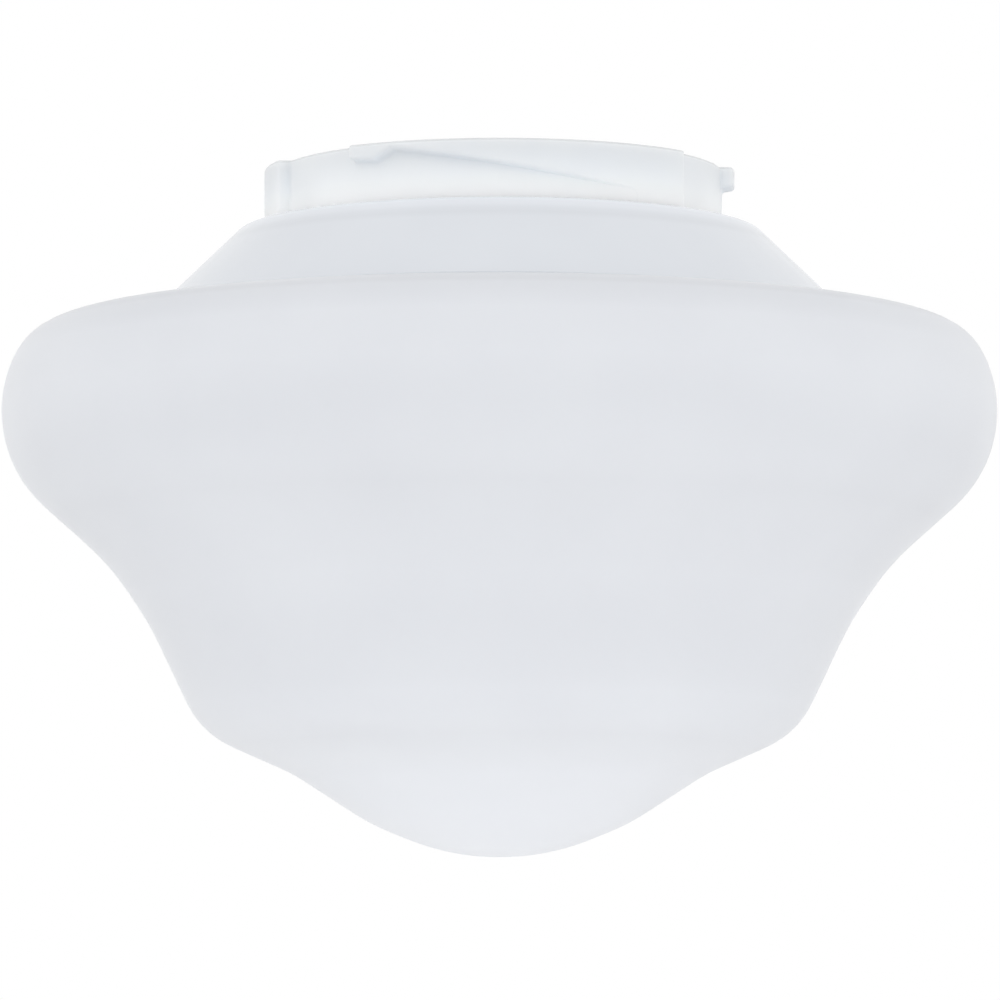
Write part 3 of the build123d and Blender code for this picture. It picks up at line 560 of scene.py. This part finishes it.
# Painted light and shade: the glass is darker below its widest part and at the step above its foot, lighter
# on its shoulder and round its foot, and a painted dark line follows the groove under its shelf's edge.
painted_shading_by_height(opal_glass, [(-176, 0.965), (-157, 0.935), (-148, 0.88), (-138, 0.94), (-110, 0.925),
                             (-90, 0.87), (-61, 0.965), (-50, 0.965), (-43.3, 0.89), (-42.7, 0.825),
                             (-42.2, 0.85), (-41.0, 0.85)])
glass_corners = [(glass_neck, glass_foot)]
glass_corners += [(across * glass_radius, glass_foot - down * glass_depth) for across, down in glass_shares]
glass_corners += [(0.0, glass_foot - glass_depth)]
outside = rounded(glass_corners, glass_bends, step=3.0)
outside = softened(outside, glass_gap / groove_rows, glass_soften)
outside = [(r - groove_depth * exp(-((z - groove_level) / groove_width) ** 2), z) for r, z in outside]
outside = [(r, z) for k, (r, z) in enumerate(outside)
           if k % groove_rows == 0 or abs(z - groove_level) < groove_zone]
inside_corners = inset([(glass_neck, lip_top)] + glass_corners, glass_wall)
inside_bends = [bend + glass_wall if k in hollow_corners else bend - glass_wall
                for k, bend in enumerate(glass_bends)]
inside = softened(rounded(inside_corners[1:], inside_bends, step=6.0), 2 * glass_gap, glass_soften)
lip_line = [inside[0], (glass_neck - glass_wall, lip_top), (glass_lip, lip_top), (glass_lip, lip_under),
            (glass_neck, lip_under), (glass_neck, glass_foot), outside[lip_join]]
glass_line = inside[::-1] + rounded(lip_line, lip_bends, step=15.0)[1:-1] + outside[lip_join:]
glass_mesh = turned_mesh(glass_line, opal_glass, glass_steps)
glass_mesh = carved(glass_mesh, sectors(lip_gap_box, lip_gap_turns, lip_gap_width), "DIFFERENCE")
glass_mesh = carved(glass_mesh, sectors(nub_box, nub_turns, nub_width, nub_steps), "UNION")
fitted("shade_glass", glass_mesh, opal_glass, "shade", "glass_shade")


# Socket plate and retainer: the plate is a 1.2 mm zinc plated steel disc under the collar, and the
# retainer a pressed steel ring beneath it. The retainer's flat ledge bears on the gasket, and three tabs
# inside its skirt carry the glass by its lip.
sheet_edge = 0.25
flat_angle, edge_angle, smooth_angle = 0.5, 30.0, 45.0


def eased(node, width):
    """A merged copy of a CAD node with its sharp edges rounded over."""
    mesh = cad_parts[node].data.copy()
    skin = bmesh.new()
    skin.from_mesh(mesh)
    bmesh.ops.remove_doubles(skin, verts=skin.verts, dist=2e-6)
    bmesh.ops.dissolve_limit(skin, angle_limit=radians(flat_angle), verts=skin.verts, edges=skin.edges)
    skin.to_mesh(mesh)
    skin.free()
    if "custom_normal" in mesh.attributes:
        mesh.attributes.remove(mesh.attributes["custom_normal"])
    holder = object_of("holder", mesh)
    step = holder.modifiers.new("ease", "BEVEL")
    step.width, step.segments = width / 1000, 2
    step.limit_method, step.angle_limit = "ANGLE", radians(edge_angle)
    return tidied(plain_mesh(holder), smooth_angle)


zinc_steel = made_of("zinc plated steel", [(0.64, 0.66, 0.69), (0.69, 0.71, 0.735)], (0.28, 0.40), 0.009,
                     0.0007, 0.000006, Metallic=1.0)
for name, node in (("plate_disc", "socket_plate"), ("retainer_pressing", "retainer_ring")):
    fitted(name, eased(node, sheet_edge), zinc_steel, "kit", node)


# Lip gasket: a flat ring of translucent silicone, moulded with eased edges, that rests under the
# retainer's ledge. It keeps the glass from rattling and lets it turn.
gasket_inner, gasket_outer, gasket_top, gasket_bottom = 67.8, 72.4, -29.2, -30.8
gasket_bends, gasket_steps = [0.2, 0.2, 0.5, 0.5], 192

silicone = made_of("silicone", [(0.78, 0.79, 0.80), (0.84, 0.85, 0.86)], (0.5, 0.62), 0.01, 0.0005, 0.00001,
                   Subsurface_Weight=0.8, Subsurface_Scale=0.002, Subsurface_Radius=(1, 1, 1))
gasket_line = closed([(gasket_inner, gasket_top), (gasket_outer, gasket_top), (gasket_outer, gasket_bottom),
                      (gasket_inner, gasket_bottom)], gasket_bends, step=22.5)
gasket_mesh = turned_mesh(gasket_line, silicone, gasket_steps)
fitted("gasket_ring", gasket_mesh, silicone, "kit", "lip_gasket")


# Clamp screws: three zinc plated pan head screws with split washers. Each runs up through retainer, plate
# and collar and cuts its own thread in a boss of the neck.
clamp_radius, clamp_grip, clamp_head, clamp_head_height = 2.0, 12.3, 3.8, 2.4
clamp_slack = 0.02
washer_top, washer_inner, washer_outer, washer_thickness = -18.9, 2.05, 4.2, 0.9
washer_middle, washer_turn, washer_steps = 270.0, 346.0, 48
dome_share, brim_share, head_foot_round = 0.8, 0.15, 0.1
thread_depth, thread_pitch = 0.22, 0.8
root_share, crest_share, point_share = 0.4, 0.8, 0.6
recess_arm, recess_half, recess_floor = 0.55, 0.13, 0.45
screw_steps = 40


def pan_screw(radius, grip, head, height, material):
    """A screw with a domed head above the origin, a cross recess, and a threaded shank below."""
    line = [(0, height), (head, height), (head, 0.0), (radius, 0.0), (radius, -thread_pitch)]
    line = rounded(line, [height * dome_share, height * brim_share, head_foot_round], step=15.0)
    level = -thread_pitch
    while level > -grip + 2 * thread_pitch:
        line += [(radius - thread_depth, level - root_share * thread_pitch),
                 (radius, level - crest_share * thread_pitch), (radius, level - thread_pitch)]
        level -= thread_pitch
    line += [(radius * point_share, -grip), (0, -grip)]
    screw = turned_mesh(line, material, screw_steps)
    arm, half, floor = head * recess_arm, head * recess_half, height * recess_floor
    for across, along in ((arm, half), (half, arm)):
        corners = [(x, y, z) for x in (-across, across) for y in (-along, along) for z in (floor, height + 1)]
        faces = [(0, 1, 3, 2), (4, 6, 7, 5), (0, 4, 5, 1), (2, 3, 7, 6), (0, 2, 6, 4), (1, 5, 7, 3)]
        screw = carved(screw, mesh_of("recess", corners, faces), "DIFFERENCE")
    return screw


def placed_tree(name, inputs, place):
    """Geometry Nodes that set copies of the object's own mesh at places worked out from each one's number."""
    sizes = [(label, "Float") for label in inputs]
    tree, given = new_tree(name, [("Shape", "Geometry"), ("Count", "Int"), *sizes])
    nodes, links = tree.nodes, tree.links
    line = nodes.new("GeometryNodeMeshLine")
    line.inputs["Offset"].default_value = (0, 0, 0)
    links.new(given["Count"], line.inputs["Count"])
    moved = nodes.new("GeometryNodeSetPosition")
    links.new(line.outputs["Mesh"], moved.inputs["Geometry"])
    spread = nodes.new("GeometryNodeInstanceOnPoints")
    links.new(moved.outputs["Geometry"], spread.inputs["Points"])
    links.new(given["Shape"], spread.inputs["Instance"])
    place(tree, given, nodes.new("GeometryNodeInputIndex").outputs["Index"], moved, spread)
    return ended(tree, spread.outputs["Instances"], given)


def round_a_circle(tree, given, index, moved, spread):
    """Copies stand evenly round a circle, each turned with its place."""
    step = value_of(tree, "DIVIDE", 2 * pi, given["Count"])
    turn = value_of(tree, "ADD", value_of(tree, "MULTIPLY", index, step), given["First turn"])
    across = value_of(tree, "MULTIPLY", given["Circle"], value_of(tree, "SINE", turn))
    ahead = value_of(tree, "MULTIPLY", given["Circle"], value_of(tree, "COSINE", turn))
    place, tilt = tree.nodes.new("ShaderNodeCombineXYZ"), tree.nodes.new("ShaderNodeCombineXYZ")
    tree.links.new(across, place.inputs["X"])
    tree.links.new(value_of(tree, "MULTIPLY", ahead, -1.0), place.inputs["Y"])
    tree.links.new(turn, tilt.inputs["Z"])
    tree.links.new(place.outputs["Vector"], moved.inputs["Position"])
    tree.links.new(tilt.outputs["Vector"], spread.inputs["Rotation"])


def along_a_row(tree, given, index, moved, spread):
    """Copies stand in a row along X, centred on the axis."""
    last = value_of(tree, "SUBTRACT", given["Count"], 1.0)
    number = value_of(tree, "SUBTRACT", index, value_of(tree, "MULTIPLY", last, 0.5))
    place = tree.nodes.new("ShaderNodeCombineXYZ")
    tree.links.new(value_of(tree, "MULTIPLY", number, given["Pitch"]), place.inputs["X"])
    tree.links.new(place.outputs["Vector"], moved.inputs["Position"])


circle_of = placed_tree("placed round a circle", ["Circle", "First turn"], round_a_circle)
row_of = placed_tree("placed along a row", ["Pitch"], along_a_row)


def circled(mesh, count, circle, first_turn, material):
    return through(circle_of, mesh, {"Count": count, "Circle": circle / 1000,
                                     "First turn": radians(first_turn), "Finish": material})


def in_row(mesh, count, pitch, material):
    """Copies of a mesh along X."""
    return through(row_of, mesh, {"Count": count, "Pitch": pitch / 1000, "Finish": material})


def shifted(mesh, move, turn=0.0):
    """The mesh turned about X by some degrees and then moved in millimetres."""
    mesh.transform(Matrix.Translation(Vector(move) / 1000) @ Matrix.Rotation(radians(turn), 4, "X"))
    return mesh


bright_screw = made_of("bright zinc screw", [(0.66, 0.67, 0.70), (0.74, 0.75, 0.77)], (0.2, 0.34), 0.002,
                       0.0003, 0.000006, Metallic=1.0)
clamp_screw = pan_screw(clamp_radius - clamp_slack, clamp_grip, clamp_head, clamp_head_height, bright_screw)
clamp_screw = shifted(clamp_screw, (0, 0, washer_top - washer_thickness), 180.0)
clamp_set = circled(clamp_screw, len(boss_turns), boss_circle, boss_turns[0], bright_screw)
fitted("clamp_screw_set", clamp_set, bright_screw, "kit", "clamp_screws")
washer_box = (washer_inner, washer_outer, washer_top, washer_top - washer_thickness)
washer = sectors(washer_box, [washer_middle], washer_turn, washer_steps)
washer_set = circled(washer, len(boss_turns), boss_circle, boss_turns[0], bright_screw)
fitted("lock_washer_set", washer_set, bright_screw, "kit", "lock_washers")


# Strap: a bent strip of 1.5 mm zinc plated steel that hangs the lampholder under the plate. Two steel
# rivets with domed heads hold its ears.
rivet_pitch, rivet_radius, rivet_head = 57.0, 2.0, 3.6
rivet_levels = (-15.5, -16.7, -19.4, -20.6)
rivet_bends = [1.0, 0.1, 0, 0, 0.1, 1.0]

fitted("strap", eased("socket_bracket", sheet_edge), zinc_steel, "kit", "socket_bracket")
rivet_line = [(0, rivet_levels[0]), (rivet_head, rivet_levels[0]), (rivet_head, rivet_levels[1]),
              (rivet_radius, rivet_levels[1]), (rivet_radius, rivet_levels[2]), (rivet_head, rivet_levels[2]),
              (rivet_head, rivet_levels[3]), (0, rivet_levels[3])]
rivet = turned_mesh(rounded(rivet_line, rivet_bends, step=15.0), bright_screw, screw_steps)
rivets = in_row(rivet, 2, rivet_pitch, bright_screw)
fitted("strap_rivets", rivets, bright_screw, "kit", "bracket_rivets")


# Lampholder: a glazed porcelain body, fired in one piece. Two screws pull it up to the strap, and two
# pockets behind take the brass terminals.
holder_edge = 0.5
holder_screw_pitch, holder_screw_radius, holder_screw_grip = 18.0, 1.73, 10.4
holder_head, holder_head_height = 3.2, 2.0
strap_top = -24.9

porcelain = made_of("glazed porcelain", [(0.85, 0.84, 0.815), (0.87, 0.86, 0.84)], (0.08, 0.16), 0.007,
                    0.0012, 0.00002, Coat_Weight=0.6, Coat_Roughness=0.05)
fitted("holder_porcelain", eased("socket_body", holder_edge), porcelain, "kit", "socket_body")
holder_screw = pan_screw(holder_screw_radius, holder_screw_grip, holder_head, holder_head_height,
                         bright_screw)
holder_screws = in_row(shifted(holder_screw, (0, 0, strap_top)), 2, holder_screw_pitch, bright_screw)
fitted("holder_screw_pair", holder_screws, bright_screw, "kit", "socket_screws")


# Live parts: a drawn brass sleeve for the bulb's thread, a sprung brass leaf on a rivet over the bulb's
# tip, and two stamped brass terminals with their screws.
leaf_edge, terminal_edge = 0.1, 0.15
terminal_pitch, terminal_face, terminal_level = 16.0, 16.0, -31.4
terminal_radius, terminal_grip, terminal_head, terminal_head_height = 1.48, 4.9, 2.8, 1.8


def dressed(material, *nodes):
    """The CAD nodes keep their shape and take a finish."""
    for node in nodes:
        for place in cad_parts[node].material_slots:
            place.material = material


brass = made_of("brass", [(0.72, 0.52, 0.22), (0.82, 0.62, 0.30)], (0.22, 0.38), 0.008, 0.0006, 0.000006,
                Metallic=1.0)
dressed(brass, "socket_shell", "contact_rivet")
fitted("contact_leaf", eased("centre_contact", leaf_edge), brass, "contact", "centre_contact")
fitted("terminal_pair", eased("socket_terminals", terminal_edge), brass, "kit", "socket_terminals")
terminal_screw = pan_screw(terminal_radius, terminal_grip, terminal_head, terminal_head_height, brass)
terminal_screw = shifted(terminal_screw, (0, terminal_face, terminal_level), -90.0)
terminal_screws = in_row(terminal_screw, 2, terminal_pitch, brass)
fitted("terminal_screw_pair", terminal_screws, brass, "kit", "terminal_screws")


# Fan connector: a natural nylon housing that clips up through the plate, with three brass pins that the
# fan's plug slides onto.
connector_edge = 0.3
pin_pitch, pin_radius, pin_bottom, pin_top = 6.0, 1.0, -18.5, -7.0
pin_bends, pin_steps = [0.7, 0.1], 32


def middle_of(node):
    """The middle of a CAD node's box in millimetres."""
    low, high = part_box(node)
    return [500 * (a + b) for a, b in zip(low, high)]


nylon = made_of("natural nylon", [(0.80, 0.79, 0.74), (0.85, 0.84, 0.80)], (0.34, 0.46), 0.006, 0.0005,
                0.00001, Subsurface_Weight=0.6, Subsurface_Scale=0.002, Subsurface_Radius=(1, 1, 1))
connector_mesh = eased("connector_housing", connector_edge)
fitted("connector_shell", connector_mesh, nylon, "kit", "connector_housing")
pin_line = [(0, pin_top), (pin_radius, pin_top), (pin_radius, pin_bottom), (0, pin_bottom)]
pin = turned_mesh(rounded(pin_line, pin_bends, step=15.0), brass, pin_steps)
pins = in_row(shifted(pin, (0, middle_of("connector_pins")[1], 0)), 3, pin_pitch, brass)
fitted("pin_row", pins, brass, "kit", "connector_pins")


# Leads: stranded copper in soft PVC, black for the live side, white for the neutral and green for earth.
# The earth lead ends in a tinned ring under a green screw.
lead_shades = {"hot_lead": (0.02, 0.02, 0.022), "neutral_lead": (0.78, 0.78, 0.76),
               "ground_lead": (0.03, 0.22, 0.07)}
lead_lighter = 1.15
earth_ring_edge = 0.12
earth_radius, earth_grip, earth_head, earth_head_height, earth_level = 1.98, 5.0, 3.6, 2.4, -18.7

for node, shade in lead_shades.items():
    lighter = tuple(lead_lighter * part for part in shade)
    insulation = made_of(node + " insulation", [shade, lighter], (0.38, 0.5), 0.004, 0.0004, 0.00001)
    dressed(insulation, node)
tinned_copper = made_of("tinned copper", [(0.70, 0.69, 0.66), (0.80, 0.79, 0.77)], (0.26, 0.42), 0.003,
                        0.0004, 0.000008, Metallic=1.0)
earth_ring = eased("ring_terminal", earth_ring_edge)
fitted("earth_ring", earth_ring, tinned_copper, "kit", "ring_terminal")
green_screw = made_of("green dyed screw", [(0.10, 0.36, 0.16), (0.16, 0.46, 0.22)], (0.24, 0.4), 0.002,
                      0.0004, 0.000006, Metallic=0.9)
earth_screw = pan_screw(earth_radius, earth_grip, earth_head, earth_head_height, green_screw)
earth_screw = shifted(earth_screw, (*middle_of("ground_screw")[:2], earth_level), 180.0)
fitted("earth_screw", earth_screw, green_screw, "kit", "ground_screw")


# Bulb: a small light bulb with a medium screw base. The base is rolled nickel plated brass with a round
# helical thread, closed by black glass and a soldered tip, and it turns and drops along that thread.
base_top, base_bottom, base_radius, base_wall = -48.95, -73.55, 13.0, 0.45
base_pitch, base_thread, base_fade = 3.629, 0.7, 2.5
base_mouth, base_mouth_drop = 11.9, 1.2
base_steps_round, base_steps_down = 96, 80

turns = np.linspace(0, 2 * pi, base_steps_round, endpoint=False)
levels = np.linspace(base_top, base_bottom, base_steps_down)
fade = np.clip(np.minimum(base_top - levels, levels - base_bottom) / base_fade, 0, 1)
fade = fade**2 * (3 - 2 * fade)
phase = 2 * pi * levels[:, None] / base_pitch - turns[None]
radius = base_radius - base_thread * fade[:, None] * (0.5 - 0.5 * np.cos(phase))
mouth = np.clip(1 - (base_top - levels) / base_mouth_drop, 0, 1)[:, None] ** 2
radius -= (base_radius - base_mouth) * mouth
radius = np.vstack([radius, radius[::-1] - base_wall])
levels = np.concatenate([levels, levels[::-1]])[:, None]
rings = np.stack([radius * np.cos(turns), radius * np.sin(turns), levels + 0 * radius], axis=-1)
nickel = made_of("nickel plated brass", [(0.66, 0.64, 0.60), (0.74, 0.72, 0.68)], (0.18, 0.32), 0.006, 0.0006,
                 0.000006, Metallic=1.0)
fitted("bulb_screw_base", stacked("base", rings), nickel, "bulb", "bulb_base")
black_glass = made_of("black glass", [(0.015, 0.014, 0.016), (0.03, 0.028, 0.03)], (0.06, 0.2), 0.004, 0.0008,
                      0.00002)
solder = made_of("solder", [(0.58, 0.58, 0.58), (0.70, 0.70, 0.69)], (0.24, 0.5), 0.002, 0.0005, 0.00003,
                 Metallic=1.0)
bulb_plastic = made_of("bulb plastic", [(0.82, 0.82, 0.81), (0.86, 0.86, 0.85)], (0.4, 0.52), 0.01, 0.0005,
                       0.00001)
bulb_diffuser = made_of("bulb diffuser", [(0.86, 0.86, 0.85), (0.90, 0.90, 0.89)], (0.3, 0.42), 0.012, 0.0006,
                        0.000008, Subsurface_Weight=0.8, Subsurface_Scale=0.004, Subsurface_Radius=(1, 1, 1))
dressed(black_glass, "bulb_insulator")
dressed(solder, "bulb_tip")
dressed(bulb_plastic, "bulb_housing")
dressed(bulb_diffuser, "bulb_globe")


# Light board: a round aluminium board with white solder mask in the mouth of the bulb's housing, and nine
# square light chips, each a white frame round a yellow gel.
chip_size, chip_height, chip_circle, board_face = 2.8, 0.7, 12.0, -99.55
chip_frame, chip_edge = 0.35, 0.15
chip_count, chip_first_turn = 8, 90.0

masked_board = made_of("white masked board", [(0.74, 0.75, 0.75), (0.80, 0.81, 0.80)], (0.3, 0.42), 0.005,
                       0.0008, 0.000008)
dressed(masked_board, "led_board")
light_chip = made_of("light chip", [(0.86, 0.66, 0.12), (0.92, 0.76, 0.24)], (0.22, 0.34), 0.001, 0.0002,
                     0.00001, Coat_Weight=0.5, Coat_Roughness=0.1)


def chip_mesh():
    """A square chip that hangs from the board, with eased edges and a shallow dish for its gel."""
    half, dish = chip_size / 2, chip_size / 2 - chip_frame
    loops = [(half, 0.0), (half, -chip_height + chip_edge), (half - chip_edge, -chip_height),
             (dish, -chip_height), (dish - chip_edge, -chip_height + chip_edge)]
    square = ((-1, -1), (1, -1), (1, 1), (-1, 1))
    points = [(x * size, y * size, board_face + z) for size, z in loops for x, y in square]
    return mesh_of("chip", points, [(3, 2, 1, 0), (16, 17, 18, 19)] + banded(0, len(loops), 4))


chips = circled(chip_mesh(), chip_count, chip_circle, chip_first_turn, light_chip)
fitted("chip_circle", chips, light_chip, "bulb", "led_chips")
fitted("chip_middle", chip_mesh(), light_chip, "bulb", "led_chips")


# A box is its place and side in metres and its power in watts, and the room's light is its strength by
# height in front and behind.
camera_place, camera_pitch = (0.00013, -1.7778, -0.2571), 95.548
camera_lens, camera_sensor = 252.0, 36.0
floor_level, floor_half = -3.6, 30.0
front_light = [(0.0, 0.92), (0.25, 1.0), (0.6, 1.0), (1.0, 1.06)]
back_light = [(0.0, 0.06), (0.25, 0.26), (0.6, 0.70), (1.0, 1.06)]
box_aim = Vector((0, 0, -0.09))
soft_boxes = [
    ("front", (0.0, -4.2, 0.6), 3.5, 4.6),
    ("front left", (-3.2, -2.4, 1.0), 3.5, 8.8),
    ("front right", (3.2, -2.4, 1.0), 3.5, 9.8),
    ("left", (-4.0, 0.6, 0.3), 3.5, 13.4),
    ("right", (4.0, 0.6, 0.3), 3.5, 12.2),
    ("below", (0.1, -0.4, -2.35), 4.5, 28.0),
]

camera = object_of("camera", bpy.data.cameras.new("camera"))
camera.location = camera_place
camera.rotation_euler = (radians(camera_pitch), 0, 0)
camera.data.lens = camera_lens
camera.data.sensor_width = camera_sensor
bpy.context.scene.camera = camera
bpy.context.scene.view_settings.view_transform = "Standard"

for name, place, size, power in soft_boxes:
    lamp = bpy.data.lights.new(name, "AREA")
    lamp.shape, lamp.size, lamp.energy = "SQUARE", size, power
    box = object_of(name, lamp)
    box.location = place
    box.rotation_euler = (box_aim - Vector(place)).to_track_quat("-Z", "Y").to_euler()
    box.visible_camera = False

room = bpy.data.worlds.new("room")
bpy.context.scene.world = room
room.use_nodes = True
nodes, links = room.node_tree.nodes, room.node_tree.links
light_path = nodes.new("ShaderNodeLightPath")
seen = light_path.outputs["Is Camera Ray"]
for ray in ("Is Glossy Ray", "Is Transmission Ray"):
    seen = value_of(room.node_tree, "MAXIMUM", seen, light_path.outputs[ray])
direction = nodes.new("ShaderNodeSeparateXYZ")
links.new(nodes.new("ShaderNodeTexCoord").outputs["Generated"], direction.inputs["Vector"])
backward = nodes.new("ShaderNodeMapRange")
backward.inputs["From Min"].default_value = -1.0
links.new(direction.outputs["Y"], backward.inputs["Value"])
room_light = nodes.new("ShaderNodeMix")
room_light.data_type = "RGBA"
links.new(backward.outputs["Result"], room_light.inputs["Factor"])
for socket, light in (("A", front_light), ("B", back_light)):
    links.new(ramped(room.node_tree, direction.outputs["Z"], light), room_light.inputs[socket])
strength = nodes.new("ShaderNodeMix")
links.new(seen, strength.inputs["Factor"])
links.new(room_light.outputs[2], strength.inputs["A"])
strength.inputs["B"].default_value = 1.0
nodes["Background"].inputs["Color"].default_value = (1, 1, 1, 1)
links.new(strength.outputs["Result"], nodes["Background"].inputs["Strength"])

floor_corners = [(floor_half * x, floor_half * y, floor_level)
                 for x, y in ((-1, -1), (1, -1), (1, 1), (-1, 1))]
floor_mesh = bpy.data.meshes.new("floor")
floor_mesh.from_pydata(floor_corners, [], [(0, 1, 2, 3)])
pale_floor = made_of("pale floor", [(0.88, 0.88, 0.88), (0.90, 0.90, 0.90)], (0.8, 0.9), 0.5, 0.01, 0.0001)
floor_mesh.materials.append(pale_floor)
floor = object_of("floor", floor_mesh)
